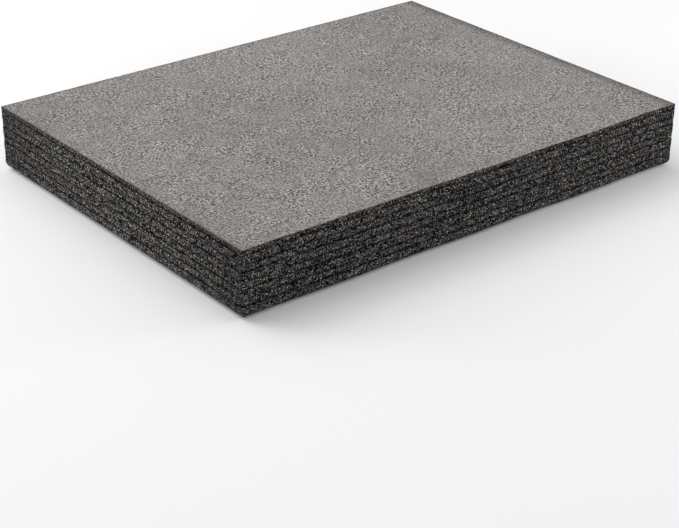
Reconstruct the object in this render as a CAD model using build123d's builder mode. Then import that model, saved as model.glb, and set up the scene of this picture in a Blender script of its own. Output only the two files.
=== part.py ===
"""Laminated foam plank, 16 x 12 x 2 inches: eight extruded foam plies welded face to face.

The plank is trimmed on all four sides, so the edge of every ply shows there as a course of its own,
with a rolled seam above and below it. The blade wandered in and out along the front side and left
the left side slightly hollow. The other two sides are straight. The upper edges are crisp, and the
lower edges are rolled under with a large round, mitred at crisp upright corners.

Frame: millimetres, +Z up, origin at the middle of the underside. X runs along the long side and
Y along the short side. The front is the long side that faces -Y, and the left side faces -X.
"""

import os

from build123d import *

# The trimmed plank.
LENGTH = 406.4
WIDTH = 304.8
HEIGHT = 50.8

# The plies, counted from the top. Between the thin top ply and the bottom ply lie pairs of
# a thick and a thin ply, and the bottom ply takes up what is left of the height.
TOP_PLY = 3.9
THICK_PLY = 6.8
THIN_PLY = 5.5
PAIRS = 3
BOTTOM_PLY = HEIGHT - TOP_PLY - PAIRS * (THICK_PLY + THIN_PLY)

# The rims of the plies. The thin plies stand back a little from the thick ones.
TOP_ROUND = 0.4
SEAM_ROUND = 0.6
UNDER_ROUND = 6.0
THIN_PLY_SETBACK = 0.3

# The uneven cuts: how many strokes the blade took along the front, swinging in and out in turn,
# how far each stroke swings off its chord, and how hollow the left side is at its middle.
FRONT_STROKES = 7
STROKE_SWING = 0.4
LEFT_HOLLOW = 0.4


def cut_outline(setback):
    """The trimmed outline of one ply, standing back on all sides. Its front is a chain of tangent arcs."""
    half_length = LENGTH / 2 - setback
    back = WIDTH / 2 - setback
    front = -WIDTH / 2 + STROKE_SWING + setback
    stroke = 2 * half_length / FRONT_STROKES
    with BuildSketch(mode=Mode.PRIVATE) as outline:
        with BuildLine():
            for number in range(FRONT_STROKES):
                start = -half_length + number * stroke
                swing = STROKE_SWING if number % 2 == 0 else -STROKE_SWING
                ThreePointArc((start, front), (start + stroke / 2, front + swing), (start + stroke, front))
            Polyline((half_length, front), (half_length, back), (-half_length, back))
            middle = (-half_length + LEFT_HOLLOW, (front + back) / 2)
            ThreePointArc((-half_length, back), middle, (-half_length, front))
        make_face()
    return outline.sketch


def make_ply(name, level, thickness, setback, lower_round, upper_round):
    """One ply, standing at its level in the plank, with its lower and upper rims rolled."""
    outline = cut_outline(setback)
    with BuildPart() as ply:
        with BuildSketch(Plane.XY.offset(level)):
            add(outline)
        extrude(amount=thickness)
        fillet(ply.faces().sort_by(Axis.Z)[0].edges(), radius=lower_round)
        fillet(ply.faces().sort_by(Axis.Z)[-1].edges(), radius=upper_round)
    ply.part.label = name
    return ply.part


def stack_plies():
    """All the plies from the bottom up, each one standing on the one below it."""
    plies = [make_ply("bottom_ply", 0, BOTTOM_PLY, 0, UNDER_ROUND, SEAM_ROUND)]
    level = BOTTOM_PLY
    for number in range(2 * PAIRS + 1, 1, -1):
        is_thin = number % 2 == 1
        thickness = THIN_PLY if is_thin else THICK_PLY
        setback = THIN_PLY_SETBACK if is_thin else 0
        plies.append(make_ply(f"ply_{number}", level, thickness, setback, SEAM_ROUND, SEAM_ROUND))
        level += thickness
    plies.append(make_ply("top_ply", level, TOP_PLY, 0, SEAM_ROUND, TOP_ROUND))
    return plies


os.makedirs("parts", exist_ok=True)
for piece in stack_plies():
    export_step(piece, f"parts/{piece.label}.step")
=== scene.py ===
"""Laminated foam plank: eight welded foam plies with rough cut sides, lying on a pale studio floor.

Every ply replaces its plain solid in the frame. Its side is a rolled profile carried round the trimmed
outline and roughened by a relief of sliced cells. Metres, +Z up, X along the long side, and the
wandering cut faces -Y.
"""

import math

import bpy
import mathutils
import numpy as np
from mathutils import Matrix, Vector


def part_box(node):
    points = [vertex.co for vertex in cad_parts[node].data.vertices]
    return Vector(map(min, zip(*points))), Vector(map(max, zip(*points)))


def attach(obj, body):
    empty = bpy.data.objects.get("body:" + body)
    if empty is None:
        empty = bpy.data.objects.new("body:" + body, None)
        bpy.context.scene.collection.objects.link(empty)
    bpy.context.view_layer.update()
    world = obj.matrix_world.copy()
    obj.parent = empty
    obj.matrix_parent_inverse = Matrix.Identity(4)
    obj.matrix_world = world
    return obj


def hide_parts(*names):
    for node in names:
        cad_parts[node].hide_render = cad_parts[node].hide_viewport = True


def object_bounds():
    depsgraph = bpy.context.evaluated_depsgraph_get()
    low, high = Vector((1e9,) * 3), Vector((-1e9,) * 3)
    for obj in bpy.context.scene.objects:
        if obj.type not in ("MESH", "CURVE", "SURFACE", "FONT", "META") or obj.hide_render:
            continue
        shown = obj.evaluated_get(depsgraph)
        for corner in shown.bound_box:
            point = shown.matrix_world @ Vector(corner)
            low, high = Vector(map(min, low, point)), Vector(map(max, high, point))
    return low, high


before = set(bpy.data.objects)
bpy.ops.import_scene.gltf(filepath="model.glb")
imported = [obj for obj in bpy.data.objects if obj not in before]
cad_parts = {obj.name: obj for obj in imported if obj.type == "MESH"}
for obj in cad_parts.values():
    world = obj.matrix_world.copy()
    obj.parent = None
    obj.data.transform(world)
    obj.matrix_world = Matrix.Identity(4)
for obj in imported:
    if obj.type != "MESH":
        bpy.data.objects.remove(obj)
CAD_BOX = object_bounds()

bl_info = {
    "name": "Laminated Foam Plank",
    "version": (1, 0, 0),
    "blender": (4, 5, 0),
    "location": "3D View > Sidebar > Foam Plank",
    "description": "Builds a plank of welded foam plies with rough cut sides",
    "category": "Add Mesh",
}

MM = 0.001
LOWEST, HIGHEST = np.array(CAD_BOX[0]), np.array(CAD_BOX[1])
LENGTH, WIDTH = HIGHEST[:2] - LOWEST[:2]
BOTTOM_NODE = "bottom_ply"
MIDDLE_NODES = [f"ply_{number}" for number in range(7, 1, -1)]
TOP_NODE = "top_ply"

# The mesh: the finishes by number, how far in from its rolled rim a ply's weld face and the
# underside begin, how much further in the coarse grid of a broad face begins, the mesh step round
# the under round, and how many steps of the outline one step of a coarse grid spans.
CUT, SKIN = 0, 1
WELD_MARGIN = 5.4 * MM
UNDER_MARGIN = 1.0 * MM
BAND = 3.2 * MM
UNDER_STEP = 0.6 * MM
COARSE_STEP = 8

# The flat map: the gap beside a strip or a broad face, the gap above and below a strip as a share
# of it, how many strips a ply's side is folded into and the heights between which they lie, the
# heights between which a broad face lies, and the middle and the reach of the lower weld face, with
# how far along the upper one lies.
MAP_GAP = 0.004
STRIP_GAP = 0.05
BOTTOM_STRIPS = (6, 0.52, 0.965)
MIDDLE_STRIPS = (8, 0.0, 0.965)
TOP_STRIPS = (4, 0.76, 0.965)
BOTTOM_FACE_MAP = (0.005, 0.51)
TOP_FACE_MAP = (0.005, 0.75)
WELD_MAP_MIDDLE = (0.25, 0.985)
WELD_MAP_REACH = (0.23, 0.01)
WELD_MAP_SHIFT = 0.5

# The cut: how much wider than high a sliced cell is, how far across its place its point may stray,
# how wide its walls are in cells, and how deep the shallowest cell is beside the deepest. Lumps and
# grain lie over the cells, each given as its length round the outline and its height. Near an
# upright corner only a share of the relief is left.
CELL_STRETCH = 1.2
CELL_JITTER = (0.08, 0.92)
WALL_SHARE = 0.45
SHALLOWEST_CELL = 0.35
LUMP_SIZE = (11 * MM, 4 * MM)
GRAIN_SIZE = (2.6 * MM, 1.2 * MM)
GRAIN_DEPTH = 0.12 * MM
CORNER_REACH = 5 * MM
CORNER_RELIEF = 0.2

# The welds: how far a weld pinches and lays painted shade along a ply's side, how deep it pinches, how
# dark the painted shade at its weakest place is beside its strongest, how far from a rim the relief
# starts to fade, and how much of their setback in the solids the thin plies keep.
WELD_REACH = 1.0 * MM
SEAM_PINCH = 0.2 * MM
WEAKEST_WELD = 0.6
RIM_REACH = 1.3 * MM
SETBACK_SHARE = 0.6

# The worn upper edge: its small bites, how far it falls back at the middle of each blade stroke
# along the front, and how far in from it the cut finish ends. On the front and the left side the
# skin wraps over the upper mesh rows of the rim. The top dips a little inside its edges, and the
# dip fades in over so many steps of its grid.
TOP_NIBBLE = 0.35 * MM
STROKE_BITES = (0.0, 1.5 * MM, 0.0, 0.8 * MM, 0.0, 0.0, 0.5 * MM)
TOP_BAND = 0.5 * MM
WRAPPED_ROWS = 2
TOP_DIP = 0.2 * MM
DIP_STEPS = 4

# The random patterns: their seeds, to which a ply's or a weld's number may be added, and their
# noises, each a pair of a length and a strength.
RELIEF_SEED = 100
WANDER_SEED = 400
WANDER_NOISES = ((34 * MM, 0.6), (13 * MM, 0.5), (5 * MM, 0.3))
PINCH_SEED = 500
PINCH_NOISES = ((21 * MM, 0.45), (6 * MM, 0.45), (2.4 * MM, 0.3))
NIBBLE_SEED = 900
NIBBLE_NOISES = ((11 * MM, 0.35), (3.5 * MM, 0.15))
DIP_SEED = 77
DIP_NOISES = ((45 * MM, 0.3), (17 * MM, 0.2))

# The finishes: how far below the top the brown of the pressed rim fades in and where it is full,
# how the streaks along the cut are stretched, and how far the skin's painted shade of its rolled edges
# reaches in from the right end, the left side, the very edge of the left side, and the back.
RIM_FADE = 3.6 * MM
RIM_FULL = 0.8 * MM
STREAK_STRETCH = (0.14, 0.14, 1.0)
END_BAND = 15 * MM
SIDE_BAND = 15 * MM
SIDE_EDGE_BAND = 2.2 * MM
BACK_BAND = 5 * MM

# The studio: where the camera looks, where the soft daylight comes from and how wide it spreads,
# how bright it and the sky are, and each lamp's name, place, target, width, depth and power.
LOOK_AT = (-0.10297, -0.12664, 0.0)
DAYLIGHT_FROM = (-0.5, 1.0, 1.8)
DAYLIGHT_SPREAD = math.radians(50)
DAYLIGHT = 0.7
SKY = 0.77
LAMPS = (
    ("overhead_box", (-0.4, 1.2, 1.2), (-0.05, 0.2, 0.0), 1.2, 1.2, 8.5),
    ("left_box", (-1.0, 0.95, 0.36), (-0.2, 0.15, 0.02), 0.6, 0.4, 6.4),
    ("right_box", (0.85, -0.55, 0.2), (0.24, -0.15, 0.02), 0.4, 0.25, 3.2),
)


# Settings ---------------------------------------------------------------------------------------


def length_setting(name, description, default):
    """A length in metres, with its name and what it does."""
    return bpy.props.FloatProperty(
        name=name,
        description=description,
        default=default,
        min=0.0,
        precision=5,
        subtype="DISTANCE",
        unit="LENGTH",
    )


def angle_setting(name, description, degrees):
    """An angle given in degrees, with its name and what it does."""
    return bpy.props.FloatProperty(
        name=name, description=description, default=math.radians(degrees), subtype="ANGLE"
    )


def colour_setting(name, description, default):
    """A linear colour with its name and what wears it."""
    return bpy.props.FloatVectorProperty(
        name=name, description=description, default=default, min=0.0, max=1.0, size=3, subtype="COLOR"
    )


class PlankShape(bpy.types.PropertyGroup):
    """Sizes of the cut, the rolled rims and the sliced cells."""

    strokes: bpy.props.IntProperty(
        name="Blade strokes", description="Shallow arcs along the wandering front cut", default=7, min=1
    )
    stroke_swing: length_setting("Stroke swing", "How far each stroke swings off its chord", 0.4 * MM)
    left_hollow: length_setting("Left hollow", "How hollow the left side is at its middle", 0.4 * MM)
    top_round: length_setting("Top round", "Radius of the crisp upper edge", 0.4 * MM)
    seam_round: length_setting("Seam round", "Radius of the rolled rims at a weld", 0.4 * MM)
    under_round: length_setting("Under round", "Radius of the rolled lower edge", 6.0 * MM)
    seam_wander: length_setting("Seam wander", "How far a weld line strays up and down", 0.42 * MM)
    cell_size: length_setting("Cell size", "Width of a sliced foam cell", 1.6 * MM)
    cell_depth: length_setting("Cell depth", "Depth of a sliced cell below its walls", 0.42 * MM)
    lump_height: length_setting("Lump height", "Depth of the slow lumps on the cut sides", 0.16 * MM)
    grid_step: length_setting("Grid step", "Mesh spacing round the outline", 0.49 * MM)


class PlankColours(bpy.types.PropertyGroup):
    """Colours of the foam."""

    skin: colour_setting("Skin", "Sliced upper and lower faces", (0.206, 0.192, 0.182))
    cell_wall: colour_setting("Cell wall", "Cut edges of the cell walls", (0.134, 0.126, 0.120))
    # Cell hollow: painted shade, near black, for the light lost deep in the sliced cells.
    cell_hollow_shade: colour_setting("Cell hollow", "Bottoms of the sliced cells", (0.0005, 0.0005, 0.0005))
    rim: colour_setting("Rim", "Pressed brown rim under the upper edge", (0.085, 0.071, 0.063))
    # Glint: painted glints, bright specks standing in for light caught by the films across some cells.
    glint: colour_setting("Glint", "Bright films across some cells", (0.92, 0.89, 0.86))


class StudioSettings(bpy.types.PropertyGroup):
    """Floor, lamps and camera."""

    floor: colour_setting("Floor", "Pale studio floor", (0.77, 0.77, 0.77))
    azimuth: angle_setting("Azimuth", "Camera's bearing round the plank", -39.26)
    elevation: angle_setting("Elevation", "Camera's height angle", 27.13)
    roll: angle_setting("Roll", "Camera's tilt about its own axis", -0.69)
    distance: length_setting("Distance", "From the camera to the point it looks at", 1.1925)
    lens: bpy.props.FloatProperty(
        name="Lens", description="Focal length in millimetres", default=92.67, min=1.0
    )


# Number fields round the outline ----------------------------------------------------------------


def smooth_step(share):
    """The cubic step: three times the share squared, less twice its cube."""
    return share * share * (3 - 2 * share)


def smooth_noise(rng, across, up, across_step, up_step, girth):
    """Value noise: random heights on a lattice, blended by the cubic step. It joins up round the girth."""
    columns = max(3, round(girth / across_step))
    i = np.asarray(across) / girth * columns
    j = np.asarray(up) / up_step
    i0 = np.floor(i).astype(int)
    j0 = np.floor(j).astype(int)
    rows = int(j0.max()) + 2
    heights = rng.uniform(-1.0, 1.0, (rows, columns))
    fi = smooth_step(i - i0)
    fj = smooth_step(j - j0)
    left = i0 % columns
    right = (i0 + 1) % columns
    low = heights[j0, left] * (1 - fi) + heights[j0, right] * fi
    high = heights[j0 + 1, left] * (1 - fi) + heights[j0 + 1, right] * fi
    return low * (1 - fj) + high * fj


def summed_noise(seed, across, up, girth, middle, noises):
    """A middle value, with value noises of the given lengths and strengths added to it."""
    rng = np.random.default_rng(seed)
    total = middle
    for length, strength in noises:
        total = total + strength * smooth_noise(rng, across, up, length, length, girth)
    return total


def sliced_cells(rng, across, up, size, stretch, girth):
    """Cells round jittered lattice points, wider than high by the stretch.

    Returns how far into its wall each place is, from 0 at the cell's middle to 1 at the wall, from the
    distances to the nearest and next nearest cell points, and a random tone for each cell.
    """
    columns = round(girth / (size * stretch))
    i = across / girth * columns
    j = up / size + 2
    i0 = np.floor(i).astype(int)
    j0 = np.floor(j).astype(int)
    rows = int(j0.max()) + 3
    jitter = rng.uniform(*CELL_JITTER, (2, rows, columns))
    tones = rng.uniform(0.0, 1.0, (rows, columns))
    nearest = np.full(i.shape, np.inf)
    second = np.full(i.shape, np.inf)
    tone = np.zeros(i.shape)
    for di in (-1, 0, 1):
        for dj in (-1, 0, 1):
            column = (i0 + di) % columns
            row = np.clip(j0 + dj, 0, rows - 1)
            gap_i = i0 + di + jitter[0, row, column] - i
            gap_j = j0 + dj + jitter[1, row, column] - j
            gap = np.hypot(gap_i, gap_j)
            closer = gap < nearest
            second = np.where(closer, nearest, np.minimum(second, gap))
            tone = np.where(closer, tones[row, column], tone)
            nearest = np.where(closer, gap, nearest)
    wall = 1 - np.clip((second - nearest) / WALL_SHARE, 0, 1)
    return wall, tone


# The outline and the profile --------------------------------------------------------------------


class Outline:
    """The trimmed outline, sampled evenly along its four sides from the front left corner.

    A side's station runs from -1 at its first corner to 1 at its last.
    """

    def __init__(self, shape, setback):
        self.shape = shape
        self.half_length = LENGTH / 2 - setback
        self.back = WIDTH / 2 - setback
        self.front = -WIDTH / 2 + shape.stroke_swing + setback
        self.long_count = COARSE_STEP * round(LENGTH / shape.grid_step / COARSE_STEP)
        self.short_count = COARSE_STEP * round(WIDTH / shape.grid_step / COARSE_STEP)
        counts = [self.long_count, self.short_count, self.long_count, self.short_count]
        self.side = np.repeat(np.arange(4), counts)
        self.station = np.concatenate([np.arange(n) * 2 / n - 1 for n in counts])
        self.count = len(self.side)
        self.girth = 2 * (LENGTH + WIDTH)
        side_length = np.array([LENGTH, WIDTH, LENGTH, WIDTH])
        start = np.concatenate([[0], np.cumsum(side_length)[:3]])
        self.along = start[self.side] + (self.station + 1) / 2 * side_length[self.side]
        self.from_corner = (1 - np.abs(self.station)) * side_length[self.side] / 2
        self.corner_fade = np.clip(self.from_corner / CORNER_REACH, 0, 1)
        self.along_x = np.choose(self.side, [self.station, 1, -self.station, -1])
        self.along_y = np.choose(self.side, [-1, self.station, 1, -self.station])
        self.inward_x = np.choose(self.side, [0.0, -1.0, 0.0, 1.0])
        self.inward_y = np.choose(self.side, [1.0, 0.0, -1.0, 0.0])
        corner = self.station == -1
        self.inward_x[corner] = -self.along_x[corner]
        self.inward_y[corner] = -self.along_y[corner]

    def ring(self, inset, push):
        """The outline shrunk by inset with mitred corners, with each point then pushed inward by push.

        The front is a chain of shallow arcs, in and out in turn, and the left side is one shallow arc:
        each is a parabola over its chord.
        """
        half_length = self.half_length - inset
        half_depth = (self.back - self.front) / 2 - inset
        middle = (self.back + self.front) / 2
        stroke = (self.station + 1) / 2 * self.shape.strokes
        phase = stroke % 1
        swing = np.where(np.floor(stroke) % 2 == 0, 1, -1) * 4 * phase * (1 - phase)
        hollow = 1 - self.station**2
        x = self.along_x * half_length + (self.side == 3) * self.shape.left_hollow * hollow
        y = middle + self.along_y * half_depth + (self.side == 0) * self.shape.stroke_swing * swing
        return x + self.inward_x * push, y + self.inward_y * push

    def ring_points(self, inset, push, z):
        """The points of a ring, or of one ring for every row of the insets, at the given heights."""
        return np.stack(np.broadcast_arrays(*self.ring(inset, push), z), -1).reshape(-1, 3)


def rolled_profile(low, high, lower_round, upper_round, step, under_step):
    """A ply's side in section, from the inner end of its lower roll to the inner end of its upper one.

    Two quarter circles joined by an upright line. Returns the inset and height of each point, and the
    inward direction there as its level and upward shares.
    """
    lower_count = max(3, round(math.pi / 2 * lower_round / under_step))
    turn = np.linspace(0, math.pi / 2, lower_count + 1)
    inset = [lower_round * (1 - np.sin(turn))]
    height = [low + lower_round * (1 - np.cos(turn))]
    inward = [np.sin(turn)]
    upward = [np.cos(turn)]
    run = high - low - lower_round - upper_round
    straight_count = max(2, round(run / step))
    levels = low + lower_round + run * np.arange(1, straight_count) / straight_count
    inset.append(np.zeros(len(levels)))
    height.append(levels)
    inward.append(np.ones(len(levels)))
    upward.append(np.zeros(len(levels)))
    upper_count = max(2, round(math.pi / 2 * upper_round / step))
    turn = np.linspace(math.pi / 2, 0, upper_count + 1)
    inset.append(upper_round * (1 - np.sin(turn)))
    height.append(high - upper_round * (1 - np.cos(turn)))
    inward.append(np.sin(turn))
    upward.append(-np.cos(turn))
    return [np.concatenate(part) for part in (inset, height, inward, upward)]


def weld_line(shape, outline, weld):
    """How far one weld strays up or down round the outline: summed noise, alike for both its plies."""
    level = np.zeros(outline.count)
    noise = summed_noise(WANDER_SEED + weld, outline.along, level, outline.girth, 0.0, WANDER_NOISES)
    return shape.seam_wander * noise


def weld_pinch(outline, weld):
    """How hard one weld is pinched in round the outline: summed noise about a half, held from 0 to 1."""
    level = np.zeros(outline.count)
    noise = summed_noise(PINCH_SEED + weld, outline.along, level, outline.girth, 0.5, PINCH_NOISES)
    return np.clip(noise, 0, 1)


def nibbled_edge(outline):
    """How far the upper edge falls back: bites of summed noise, and a squared sine for each stroke."""
    level = np.zeros(outline.count)
    noise = summed_noise(NIBBLE_SEED, outline.along, level, outline.girth, 0.5, NIBBLE_NOISES)
    stroke = np.clip((outline.station + 1) / 2 * len(STROKE_BITES), 0, len(STROKE_BITES) - 1e-6)
    hump = np.array(STROKE_BITES)[stroke.astype(int)] * np.sin(np.pi * (stroke % 1)) ** 2
    return outline.corner_fade * (TOP_NIBBLE * noise + np.where(outline.side == 0, hump, 0.0))


def cut_relief(shape, outline, travel, number):
    """How far each place of one ply's cut side is pushed in, and its cell's wall and tone.

    The hollows of the sliced cells, slow lumps and a fine grain are added, and the sum fades down to a
    share of itself at the upright corners.
    """
    across = np.broadcast_to(outline.along, (len(travel), outline.count))
    up = np.broadcast_to(travel[:, None], across.shape)
    rng = np.random.default_rng(RELIEF_SEED + number)
    wall, tone = sliced_cells(rng, across, up, shape.cell_size, CELL_STRETCH, outline.girth)
    lumps = smooth_noise(rng, across, up, *LUMP_SIZE, outline.girth)
    grain = smooth_noise(rng, across, up, *GRAIN_SIZE, outline.girth)
    push = shape.cell_depth * (1 - wall) * (SHALLOWEST_CELL + (1 - SHALLOWEST_CELL) * tone)
    push = push + shape.lump_height * (0.5 + 0.5 * lumps) + GRAIN_DEPTH * (1 + grain)
    push = push * (CORNER_RELIEF + (1 - CORNER_RELIEF) * outline.corner_fade)
    return push, wall, tone


def welded_side(shape, outline, travel, push, welds):
    """One ply's relief with its welds pinched in, the painted shade they lay along their grooves, and how
    far they shift it up.

    A weld is given as its number, how far each row of the profile lies from it, and how much that row
    follows its wandering line. Its pinch and its painted shade fall off exponentially. The relief fades out
    by the cubic step at both rims.
    """
    shade = np.zeros(push.shape)
    wander = np.zeros(push.shape)
    for weld, away, follow in welds:
        pinch = weld_pinch(outline, weld)
        fall = np.exp(-(away / WELD_REACH)[:, None])
        shade = np.maximum(shade, fall * (WEAKEST_WELD + (1 - WEAKEST_WELD) * pinch))
        push = push + SEAM_PINCH * pinch * fall
        wander = wander + weld_line(shape, outline, weld) * follow[:, None]
    from_rim = np.clip(np.minimum(travel, travel[-1] - travel) / RIM_REACH, 0.0, 1.0)
    return push * smooth_step(from_rim)[:, None], shade, wander


# Meshes -----------------------------------------------------------------------------------------


class PlySurface:
    """The closed surface of one ply: its points, its faces and where each face lies on the flat map."""

    def __init__(self, outline):
        self.outline = outline
        self.count = 0
        self.points = []
        self.marks = {"cell_wall": [], "cell_tone": [], "weld_shade": []}
        self.corners = []
        self.sizes = []
        self.places = []
        self.finishes = []

    def add_points(self, points, wall=0.0, tone=0.5, weld=0.0):
        """Adds points and what the sliced cells are like there, and returns the first one's number."""
        first = self.count
        self.points.append(points)
        for name, value in zip(self.marks, (wall, tone, weld)):
            self.marks[name].append(np.broadcast_to(value, len(points)).astype(np.float32))
        self.count += len(points)
        return first

    def add_faces(self, corners, places, finish):
        """Adds faces of one size, as rows of point numbers, with their places on the map and finishes."""
        self.corners.append(corners.ravel())
        self.sizes.append(np.full(len(corners), corners.shape[1]))
        self.places.append(places.reshape(-1, 2))
        self.finishes.append(np.broadcast_to(finish, len(corners)))

    def add_rows(self, first, rows, strips, wrapped):
        """Quads between rows of points round the outline, on a map that folds the girth into strips.

        They wear the cut finish, but for the wrapped rows at the top of the front and the left side.
        """
        folds, low_v, high_v = strips
        n = self.outline.count
        row, column = np.meshgrid(np.arange(rows - 1), np.arange(n), indexing="ij")
        a = first + row * n + column
        b = first + row * n + (column + 1) % n
        corners = np.stack([a, b, b + n, a + n], -1).reshape(-1, 4)
        per_fold = -(-n // folds)
        strip = (high_v - low_v) / folds
        filled = strip * (1 - 2 * STRIP_GAP)
        left = MAP_GAP + (1 - 2 * MAP_GAP) * (column % per_fold) / per_fold
        right = left + (1 - 2 * MAP_GAP) / per_fold
        bottom = low_v + strip * (column // per_fold + STRIP_GAP) + filled * row / (rows - 1)
        top = bottom + filled / (rows - 1)
        places = np.stack([left, bottom, right, bottom, right, top, left, top], -1)
        near_side = np.isin(self.outline.side[column], (0, 3))
        finishes = np.where((row >= rows - 1 - wrapped) & near_side, SKIN, CUT)
        self.add_faces(corners, places, finishes.ravel())

    def add_weld_face(self, first, facing_up):
        """One flat face inside a ring of points, where the ply is welded to the next one."""
        ring = first + np.arange(self.outline.count)
        ring = ring if facing_up else ring[::-1]
        points = np.concatenate(self.points)[ring]
        shift = WELD_MAP_SHIFT if facing_up else 0.0
        u = WELD_MAP_MIDDLE[0] + WELD_MAP_REACH[0] * points[:, 0] / (LENGTH / 2) + shift
        v = WELD_MAP_MIDDLE[1] + WELD_MAP_REACH[1] * points[:, 1] / (WIDTH / 2)
        self.add_faces(ring[None, :], np.stack([u, v], -1), CUT)

    def add_broad_face(self, first, inset, level, dip, facing_up, heights):
        """A broad face inside a ring of points: a coarser grid, stitched to the ring by triangles.

        Of the ring points that one coarse step spans, the first half fan out from its one end and the
        second half from its other end, and one triangle closes between. The grid sinks by the dip, summed
        noise that fades out towards the ring.
        """
        outline = self.outline
        steps_x = outline.long_count // COARSE_STEP
        steps_y = outline.short_count // COARSE_STEP
        across = np.linspace(-1, 1, steps_x + 1)
        deep = np.linspace(-1, 1, steps_y + 1)
        i, j = np.meshgrid(np.arange(steps_x + 1), np.arange(steps_y + 1))
        edge_x, edge_y = outline.ring(inset, 0.0)
        x = across[i] * edge_x.max()
        y = (edge_y.max() + edge_y.min()) / 2 + deep[j] * (edge_y.max() - edge_y.min()) / 2
        from_edge = np.minimum.reduce([i, steps_x - i, j, steps_y - j])
        fade = np.clip(from_edge / DIP_STEPS, 0, 1)
        waves = summed_noise(DIP_SEED, x + LENGTH, y + WIDTH, 2 * LENGTH, 0.5, DIP_NOISES)
        z = level - dip * fade * waves
        start = self.add_points(np.stack([x, y, z], -1).reshape(-1, 3))
        number = start + j * (steps_x + 1) + i
        rim = np.concatenate([number[0, :-1], number[:-1, -1], number[-1, :0:-1], number[:0:-1, 0]])
        squares = [number[:-1, :-1], number[:-1, 1:], number[1:, 1:], number[1:, :-1]]
        quads = np.stack(squares, -1).reshape(-1, 4)
        ring = first + np.arange(outline.count)
        fans = np.stack([ring, np.roll(ring, -1), rim[self.fan_ends()]], -1)
        middles = ring[COARSE_STEP // 2 :: COARSE_STEP]
        closers = np.stack([rim, middles, np.roll(rim, -1)], -1)
        low_v, high_v = heights
        for faces in (quads, fans, closers):
            faces = faces if facing_up else faces[:, ::-1]
            corners = np.concatenate(self.points)[faces.ravel()]
            u = 0.5 + (0.5 - MAP_GAP) * corners[:, 0] / (LENGTH / 2)
            share = 0.5 + 0.5 * corners[:, 1] / (WIDTH / 2)
            self.add_faces(faces, np.stack([u, low_v + (high_v - low_v) * share], -1), SKIN)

    def fan_ends(self):
        """For each ring point, which coarse point the triangle on its following edge fans out from."""
        place = np.arange(self.outline.count)
        late = place % COARSE_STEP >= COARSE_STEP // 2
        return (place // COARSE_STEP + late) % (self.outline.count // COARSE_STEP)

    def make_object(self, name, finishes):
        """A mesh object of all that was added, smooth, with its marks and its flat map."""
        points = np.concatenate(self.points).astype(np.float32)
        corners = np.concatenate(self.corners).astype(np.int32)
        sizes = np.concatenate(self.sizes).astype(np.int32)
        mesh = bpy.data.meshes.new(name)
        mesh.vertices.add(len(points))
        mesh.vertices.foreach_set("co", points.ravel())
        mesh.loops.add(len(corners))
        mesh.loops.foreach_set("vertex_index", corners)
        mesh.polygons.add(len(sizes))
        starts = np.concatenate([[0], np.cumsum(sizes)[:-1]])
        mesh.polygons.foreach_set("loop_start", starts.astype(np.int32))
        mesh.polygons.foreach_set("loop_total", sizes)
        mesh.polygons.foreach_set("material_index", np.concatenate(self.finishes).astype(np.int32))
        mesh.polygons.foreach_set("use_smooth", np.ones(len(sizes), bool))
        flat_map = mesh.uv_layers.new(name="OFBake")
        flat_map.uv.foreach_set("vector", np.concatenate(self.places).astype(np.float32).ravel())
        for mark, values in self.marks.items():
            layer = mesh.attributes.new(mark, "FLOAT", "POINT")
            layer.data.foreach_set("value", np.concatenate(values))
        mesh.update(calc_edges=True)
        mesh.validate()
        for finish in finishes:
            mesh.materials.append(finish)
        piece = bpy.data.objects.new(name, mesh)
        bpy.context.scene.collection.objects.link(piece)
        return piece


def ply_levels():
    """The heights of all the plies' lower faces, from the frame, and the top of the plank."""
    nodes = [BOTTOM_NODE, *MIDDLE_NODES, TOP_NODE]
    return [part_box(node)[0][2] for node in nodes] + [HIGHEST[2]]


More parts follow.
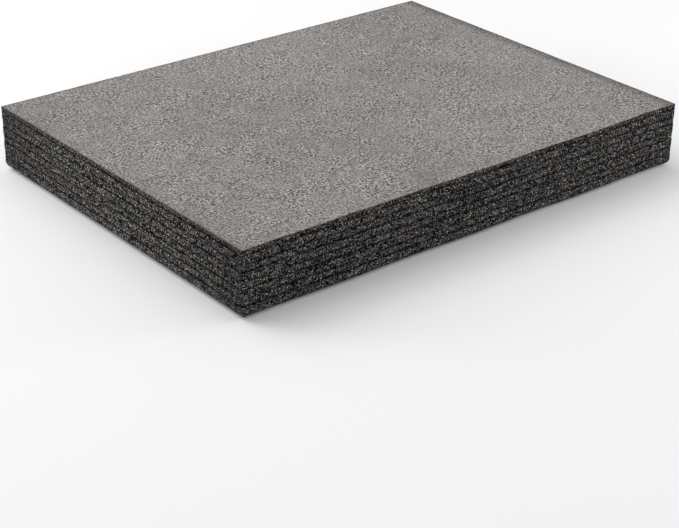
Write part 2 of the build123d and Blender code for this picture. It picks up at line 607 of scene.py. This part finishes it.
def make_ply(node, number):
    """The visual ply for one node, number 0 at the bottom. It replaces its solid, which is hidden.

    Its side is the rolled profile at every place round the outline, pushed inward by the relief of the
    cut and, on the top ply, by the nibbled edge, which falls off exponentially below the top.
    """
    shape = bpy.context.scene.foam_plank_shape
    levels = ply_levels()
    low, high = levels[number], levels[number + 1]
    is_bottom = number == 0
    is_top = number == len(levels) - 2
    setback = SETBACK_SHARE * (LENGTH - (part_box(node)[1][0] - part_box(node)[0][0])) / 2
    outline = Outline(shape, setback)
    lower_round = shape.under_round if is_bottom else shape.seam_round
    upper_round = shape.top_round if is_top else shape.seam_round
    lower_step = UNDER_STEP if is_bottom else shape.grid_step
    profile = rolled_profile(low, high, lower_round, upper_round, shape.grid_step, lower_step)
    inset, height, inward, upward = (part[:, None] for part in profile)
    travel = np.concatenate([[0], np.cumsum(np.hypot(np.diff(profile[0]), np.diff(profile[1])))])
    to_top = travel[-1] - travel
    share = (profile[1] - low) / (high - low)
    lower_weld = [] if is_bottom else [(number, travel, 1 - share)]
    upper_weld = [] if is_top else [(number + 1, to_top, share)]
    push, wall, tone = cut_relief(shape, outline, travel, number)
    push, shade, wander = welded_side(shape, outline, travel, push, lower_weld + upper_weld)
    nibble = is_top * nibbled_edge(outline)
    side_push = push * inward + nibble * np.exp(-(to_top / WELD_REACH)[:, None])

    ply = PlySurface(outline)
    face_inset = inset[0] + (UNDER_MARGIN if is_bottom else WELD_MARGIN)
    top_inset = inset[-1] + (TOP_BAND if is_top else WELD_MARGIN)
    first = ply.add_points(outline.ring_points(face_inset, 0.0, low))
    side = outline.ring_points(inset, side_push, height + wander + push * upward)
    ply.add_points(side, wall.ravel(), tone.ravel(), shade.ravel())
    last = ply.add_points(outline.ring_points(top_inset, nibble, high))

    strips = BOTTOM_STRIPS if is_bottom else TOP_STRIPS if is_top else MIDDLE_STRIPS
    ply.add_rows(first, len(travel) + 2, strips, is_top * WRAPPED_ROWS)
    if is_bottom:
        ply.add_broad_face(first, face_inset + BAND, low, 0.0, False, BOTTOM_FACE_MAP)
    else:
        ply.add_weld_face(first, False)
    if is_top:
        ply.add_broad_face(last, top_inset + BAND, high, TOP_DIP, True, TOP_FACE_MAP)
    else:
        ply.add_weld_face(last, True)
    cut = shared_finish("cut_cells", foam_cut_finish)
    skin = shared_finish("sliced_skin", foam_skin_finish)
    piece = ply.make_object(f"foam_{node}", [cut, skin])
    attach(piece, "root")
    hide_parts(node)


# Finishes ---------------------------------------------------------------------------------------


def new_finish(name):
    """A new material with only its shader and output."""
    finish = bpy.data.materials.new(name)
    finish.use_nodes = True
    tree = finish.node_tree
    tree.nodes.clear()
    shader = tree.nodes.new("ShaderNodeBsdfPrincipled")
    output = tree.nodes.new("ShaderNodeOutputMaterial")
    tree.links.new(shader.outputs["BSDF"], output.inputs["Surface"])
    return finish, tree, shader


def set_inputs(tree, made, inputs):
    """Sets a node's inputs to values, or links them to other nodes' outputs."""
    for key, value in inputs.items():
        if isinstance(value, bpy.types.NodeSocket):
            tree.links.new(value, made.inputs[key])
        else:
            made.inputs[key].default_value = value


def add_node(tree, kind, inputs=None, **settings):
    """A node with its settings and its inputs."""
    made = tree.nodes.new(kind)
    for name, value in settings.items():
        setattr(made, name, value)
    set_inputs(tree, made, inputs or {})
    return made


def mark_of(tree, name):
    """One of the mesh's marks, as a number."""
    return add_node(tree, "ShaderNodeAttribute", attribute_name=name).outputs["Fac"]


def ranged(tree, value, span, becomes):
    """A number moved smoothly from one span to another, and held at its ends."""
    inputs = {"Value": value}
    inputs.update({"From Min": span[0], "From Max": span[1], "To Min": becomes[0], "To Max": becomes[1]})
    return add_node(tree, "ShaderNodeMapRange", inputs, interpolation_type="SMOOTHSTEP").outputs["Result"]


def reckon(tree, operation, first, second):
    """Arithmetic on two numbers."""
    return add_node(tree, "ShaderNodeMath", {0: first, 1: second}, operation=operation).outputs["Value"]


def blend_colours(tree, share, first, second):
    """The first colour going over to the second by the share."""
    inputs = {0: share, 6: as_colour(first), 7: as_colour(second)}
    return add_node(tree, "ShaderNodeMix", inputs, data_type="RGBA").outputs[2]


def as_colour(value):
    """A colour of three numbers with its alpha, or a socket as it is."""
    return value if isinstance(value, bpy.types.NodeSocket) else (*value, 1.0)


def plain_colour(tree, colour):
    """One colour as a node's output."""
    made = add_node(tree, "ShaderNodeRGB")
    made.outputs[0].default_value = as_colour(colour)
    return made.outputs[0]


def scaled_colour(tree, colour, factor):
    """A colour made lighter or darker by a factor."""
    made = add_node(tree, "ShaderNodeVectorMath", {0: colour, "Scale": factor}, operation="SCALE")
    return made.outputs["Vector"]


def noise_of(tree, place, wavelength, detail=2.0, roughness=0.5):
    """Soft noise of a wavelength in metres, about 0.5 in the middle."""
    inputs = {"Vector": place, "Scale": 1 / wavelength, "Detail": detail, "Roughness": roughness}
    return add_node(tree, "ShaderNodeTexNoise", inputs).outputs["Fac"]


def small_cells(tree, place, size):
    """Small cells of a size in metres: how near a wall and how near the middle it is, and a tone each."""
    inputs = {"Vector": place, "Scale": 1 / size, "Randomness": 1.0}
    middle = add_node(tree, "ShaderNodeTexVoronoi", inputs, feature="F1")
    edge = add_node(tree, "ShaderNodeTexVoronoi", inputs, feature="DISTANCE_TO_EDGE")
    wall = ranged(tree, edge.outputs["Distance"], (0.0, 0.22), (1.0, 0.0))
    core = ranged(tree, middle.outputs["Distance"], (0.12, 0.5), (1.0, 0.0))
    split = add_node(tree, "ShaderNodeSeparateColor", {"Color": middle.outputs["Color"]})
    return wall, core, split.outputs["Red"]


def product(tree, *factors):
    """Several numbers multiplied together."""
    total = factors[0]
    for factor in factors[1:]:
        total = reckon(tree, "MULTIPLY", total, factor)
    return total


def shared_finish(name, make):
    """The named material, made when it is first asked for."""
    return bpy.data.materials.get(name) or make(name)


def foam_cut_finish(name):
    """Rough cut cells: light walls round hollows darkened by painted shade, a few painted glints on cell
    films, and painted shade along the weld grooves.

    A pressed brown rim lies under the upper edge.
    """
    colours = bpy.context.scene.foam_plank_colours
    finish, tree, shader = new_finish(name)
    place = add_node(tree, "ShaderNodeTexCoord").outputs["Object"]
    wall = mark_of(tree, "cell_wall")
    tone = mark_of(tree, "cell_tone")
    weld = mark_of(tree, "weld_shade")
    small_wall, core, small_tone = small_cells(tree, place, size=0.85 * MM)
    # How far each place goes from hollow to wall colour: partly the foam's own random tone, and partly
    # painted light, with painted shade in the cell hollows and light caught by random facets.
    lit = product(
        tree,
        ranged(tree, wall, (0.3, 0.75), (0.25, 1.0)),
        ranged(tree, small_tone, (0.34, 0.64), (0.0, 2.0)),
        ranged(tree, small_wall, (0.0, 1.0), (0.85, 1.1)),
        ranged(tree, tone, (0.0, 1.0), (0.9, 1.1)),
    )
    # Painted glints: near-white specks on a few cells, standing in for light caught by their films.
    painted_glint = product(tree, ranged(tree, small_tone, (0.8, 0.92), (0.0, 1.0)), core)
    level = add_node(tree, "ShaderNodeSeparateXYZ", {"Vector": place}).outputs["Z"]
    blotches = noise_of(tree, place, wavelength=7 * MM, detail=3.0, roughness=0.6)
    pressed = product(
        tree,
        ranged(tree, level, (HIGHEST[2] - RIM_FADE, HIGHEST[2] - RIM_FULL), (0.0, 0.75)),
        ranged(tree, blotches, (0.35, 0.6), (0.25, 1.0)),
    )
    grit = product(
        tree,
        ranged(tree, small_tone, (0.0, 1.0), (0.3, 1.7)),
        ranged(tree, wall, (0.2, 0.9), (0.5, 1.2)),
    )
    rim = scaled_colour(tree, plain_colour(tree, colours.rim), grit)
    colour = blend_colours(tree, lit, colours.cell_hollow_shade, colours.cell_wall)
    colour = blend_colours(tree, painted_glint, colour, colours.glint)
    colour = blend_colours(tree, pressed, colour, rim)
    patches = noise_of(tree, place, wavelength=9 * MM)
    lengthwise = add_node(tree, "ShaderNodeVectorMath", {0: place, 1: STREAK_STRETCH}, operation="MULTIPLY")
    streaks = noise_of(tree, lengthwise.outputs["Vector"], wavelength=1.5 * MM, detail=1.0)
    # Patches and streaks are the foam's own tone; the weld factor is painted shade along the weld grooves.
    shading = product(
        tree,
        ranged(tree, patches, (0.3, 0.7), (0.95, 1.05)),
        ranged(tree, streaks, (0.3, 0.7), (0.94, 1.06)),
        ranged(tree, weld, (0.15, 0.65), (1.1, 0.14)),
    )
    bump = add_node(tree, "ShaderNodeBump", {"Strength": 1.0, "Distance": 0.4 * MM, "Height": small_wall})
    inputs = {
        "Base Color": scaled_colour(tree, colour, shading),
        "Roughness": 0.6,
        "IOR": 1.5,
        "Specular IOR Level": 0.02,
        "Normal": bump.outputs["Normal"],
    }
    set_inputs(tree, shader, inputs)
    return finish


def foam_skin_finish(name):
    """The sliced skin: a fine matt grain with small pits darkened by painted shade, in soft lighter and
    darker patches.

    Painted shade darkens it in bands along the right end, the left side, the very edge of the left side,
    and the back, where its edges roll away from the light.
    """
    colours = bpy.context.scene.foam_plank_colours
    finish, tree, shader = new_finish(name)
    place = add_node(tree, "ShaderNodeTexCoord").outputs["Object"]
    grain = noise_of(tree, place, wavelength=1.7 * MM, roughness=0.8)
    small_wall, core, small_tone = small_cells(tree, place, size=1.9 * MM)
    # Pits: painted shade in the open cells of the skin, darkening them, with a bump for their hollow.
    pits = product(tree, core, ranged(tree, small_tone, (0.55, 0.8), (0.0, 1.0)))
    patches = noise_of(tree, place, wavelength=14 * MM, detail=3.0, roughness=0.55)
    clouds = noise_of(tree, place, wavelength=85 * MM)
    coarseness = ranged(tree, noise_of(tree, place, wavelength=24 * MM), (0.35, 0.65), (0.65, 1.25))
    bite = product(tree, ranged(tree, grain, (0.28, 0.72), (-0.95, 0.95)), coarseness)
    where = add_node(tree, "ShaderNodeSeparateXYZ", {"Vector": place})
    x, y = where.outputs["X"], where.outputs["Y"]
    # The first four factors are painted shade along the rolled edges; the last is painted shade in the
    # pits, and the rest are the skin's own grain and patches.
    shading = product(
        tree,
        ranged(tree, x, (HIGHEST[0] - END_BAND, HIGHEST[0]), (1.0, 0.54)),
        ranged(tree, x, (LOWEST[0], LOWEST[0] + SIDE_BAND), (0.9, 1.0)),
        ranged(tree, x, (LOWEST[0], LOWEST[0] + SIDE_EDGE_BAND), (0.6, 1.0)),
        ranged(tree, y, (HIGHEST[1] - BACK_BAND, HIGHEST[1]), (1.0, 0.74)),
        reckon(tree, "ADD", bite, 1.0),
        ranged(tree, small_wall, (0.0, 1.0), (0.93, 1.12)),
        ranged(tree, patches, (0.3, 0.7), (0.93, 1.07)),
        ranged(tree, clouds, (0.3, 0.7), (0.93, 1.07)),
        ranged(tree, pits, (0.0, 1.0), (1.0, 0.4)),
    )
    relief = reckon(tree, "SUBTRACT", grain, pits)
    bump = add_node(tree, "ShaderNodeBump", {"Strength": 0.4, "Distance": 0.2 * MM, "Height": relief})
    inputs = {
        "Base Color": scaled_colour(tree, plain_colour(tree, colours.skin), shading),
        "Roughness": 0.75,
        "IOR": 1.5,
        "Specular IOR Level": 0.2,
        "Normal": bump.outputs["Normal"],
    }
    set_inputs(tree, shader, inputs)
    return finish


def floor_finish():
    """Matt pale floor."""
    finish, tree, shader = new_finish("studio_floor")
    floor = as_colour(bpy.context.scene.foam_plank_studio.floor)
    set_inputs(tree, shader, {"Base Color": floor, "Roughness": 0.9, "Specular IOR Level": 0.0})
    return finish


# Stage ------------------------------------------------------------------------------------------


def make_floor():
    """A wide disc level with the underside: rings of points about the origin, joined by quads."""
    rings, spokes = 12, 96
    hub, reach = 0.02, 25.0
    turns = np.arange(spokes) * 2 * np.pi / spokes
    radius, turn = np.meshgrid(np.linspace(hub, reach, rings), turns, indexing="ij")
    level = np.full(radius.shape, LOWEST[2])
    points = np.stack([radius * np.cos(turn), radius * np.sin(turn), level], -1)
    row, column = np.meshgrid(np.arange(rings - 1), np.arange(spokes), indexing="ij")
    a = row * spokes + column
    b = row * spokes + (column + 1) % spokes
    quads = np.stack([a, a + spokes, b + spokes, b], -1).reshape(-1, 4).tolist()
    mesh = bpy.data.meshes.new("studio_floor")
    mesh.from_pydata(points.reshape(-1, 3).tolist(), [], [*quads, list(range(spokes))])
    mesh.materials.append(floor_finish())
    floor = bpy.data.objects.new("studio_floor", mesh)
    bpy.context.scene.collection.objects.link(floor)


def aim(thing, place, target, roll=0.0):
    """Puts a camera or lamp at a place, looking at the target, turned about its own axis by roll."""
    ahead = np.array(target) - np.array(place)
    ahead = ahead / np.linalg.norm(ahead)
    right = np.cross(ahead, (0, 0, 1))
    right = right / np.linalg.norm(right)
    over = np.cross(right, ahead)
    turned_right = right * math.cos(roll) - over * math.sin(roll)
    turned_over = right * math.sin(roll) + over * math.cos(roll)
    columns = [turned_right, turned_over, -ahead, np.array(place)]
    turned = np.vstack([np.stack(columns, -1), (0, 0, 0, 1)])
    thing.matrix_world = mathutils.Matrix(turned.tolist())


def make_lamp(name, place, target, width, depth, power):
    """A soft box: a rectangular lamp aimed at the target."""
    light = bpy.data.lights.new(name, "AREA")
    light.shape = "RECTANGLE"
    light.size = width
    light.size_y = depth
    light.energy = power
    lamp = bpy.data.objects.new(name, light)
    bpy.context.scene.collection.objects.link(lamp)
    aim(lamp, place, target)


def make_camera():
    """The camera, placed by its bearing, height angle and distance from the point it looks at."""
    studio = bpy.context.scene.foam_plank_studio
    level = math.cos(studio.elevation)
    back = np.array(
        [math.sin(studio.azimuth) * level, -math.cos(studio.azimuth) * level, math.sin(studio.elevation)]
    )
    lens = bpy.data.cameras.new("studio_camera")
    lens.lens = studio.lens
    lens.sensor_width = 36.0
    lens.clip_start = 0.01
    camera = bpy.data.objects.new("studio_camera", lens)
    bpy.context.scene.collection.objects.link(camera)
    aim(camera, np.array(LOOK_AT) + back * studio.distance, LOOK_AT, studio.roll)
    bpy.context.scene.camera = camera


def make_sky():
    """Even pale light from all round, with soft daylight from behind."""
    sky = bpy.data.worlds.new("studio_sky")
    sky.use_nodes = True
    light = sky.node_tree.nodes["Background"]
    light.inputs["Color"].default_value = (1.0, 1.0, 1.0, 1.0)
    light.inputs["Strength"].default_value = SKY
    bpy.context.scene.world = sky
    sun = bpy.data.lights.new("studio_daylight", "SUN")
    sun.energy = DAYLIGHT
    sun.angle = DAYLIGHT_SPREAD
    daylight = bpy.data.objects.new("studio_daylight", sun)
    bpy.context.scene.collection.objects.link(daylight)
    aim(daylight, DAYLIGHT_FROM, (0.0, 0.0, 0.0))


# Operators and panel ----------------------------------------------------------------------------


class FOAM_PLANK_OT_bottom_ply(bpy.types.Operator):
    """Build the bottom ply, rolled under along its lower edges"""

    bl_idname = "foam_plank.bottom_ply"
    bl_label = "Bottom Ply"

    def execute(self, context):
        make_ply(BOTTOM_NODE, 0)
        return {"FINISHED"}


class FOAM_PLANK_OT_middle_plies(bpy.types.Operator):
    """Build the thick and thin plies between the bottom ply and the top ply"""

    bl_idname = "foam_plank.middle_plies"
    bl_label = "Middle Plies"

    def execute(self, context):
        for number, node in enumerate(MIDDLE_NODES, 1):
            make_ply(node, number)
        return {"FINISHED"}


class FOAM_PLANK_OT_top_ply(bpy.types.Operator):
    """Build the thin top ply with its sliced skin"""

    bl_idname = "foam_plank.top_ply"
    bl_label = "Top Ply"

    def execute(self, context):
        make_ply(TOP_NODE, len(MIDDLE_NODES) + 1)
        return {"FINISHED"}


class FOAM_PLANK_OT_stage(bpy.types.Operator):
    """Set up the pale floor, the soft lamps and the camera"""

    bl_idname = "foam_plank.stage"
    bl_label = "Stage"

    def execute(self, context):
        make_floor()
        make_sky()
        for lamp in LAMPS:
            make_lamp(*lamp)
        make_camera()
        context.scene.view_settings.view_transform = "Standard"
        return {"FINISHED"}


class FOAM_PLANK_PT_panel(bpy.types.Panel):
    """Builds the foam plank and its stage"""

    bl_label = "Foam Plank"
    bl_space_type = "VIEW_3D"
    bl_region_type = "UI"
    bl_category = "Foam Plank"

    def draw(self, context):
        layout = self.layout
        for settings in (
            context.scene.foam_plank_shape,
            context.scene.foam_plank_colours,
            context.scene.foam_plank_studio,
        ):
            box = layout.box()
            for name in settings.__annotations__:
                box.prop(settings, name)
        for operator in OPERATORS:
            layout.operator(operator.bl_idname)


OPERATORS = (
    FOAM_PLANK_OT_bottom_ply,
    FOAM_PLANK_OT_middle_plies,
    FOAM_PLANK_OT_top_ply,
    FOAM_PLANK_OT_stage,
)
CLASSES = (PlankShape, PlankColours, StudioSettings, *OPERATORS, FOAM_PLANK_PT_panel)


def register():
    for made in CLASSES:
        bpy.utils.register_class(made)
    bpy.types.Scene.foam_plank_shape = bpy.props.PointerProperty(type=PlankShape)
    bpy.types.Scene.foam_plank_colours = bpy.props.PointerProperty(type=PlankColours)
    bpy.types.Scene.foam_plank_studio = bpy.props.PointerProperty(type=StudioSettings)


def unregister():
    del bpy.types.Scene.foam_plank_shape
    del bpy.types.Scene.foam_plank_colours
    del bpy.types.Scene.foam_plank_studio
    for made in reversed(CLASSES):
        bpy.utils.unregister_class(made)


def main():
    """Builds the plank from the bottom up, then its stage."""
    register()
    bpy.ops.foam_plank.bottom_ply()
    bpy.ops.foam_plank.middle_plies()
    bpy.ops.foam_plank.top_ply()
    bpy.ops.foam_plank.stage()


if __name__ == "__main__":
    main()
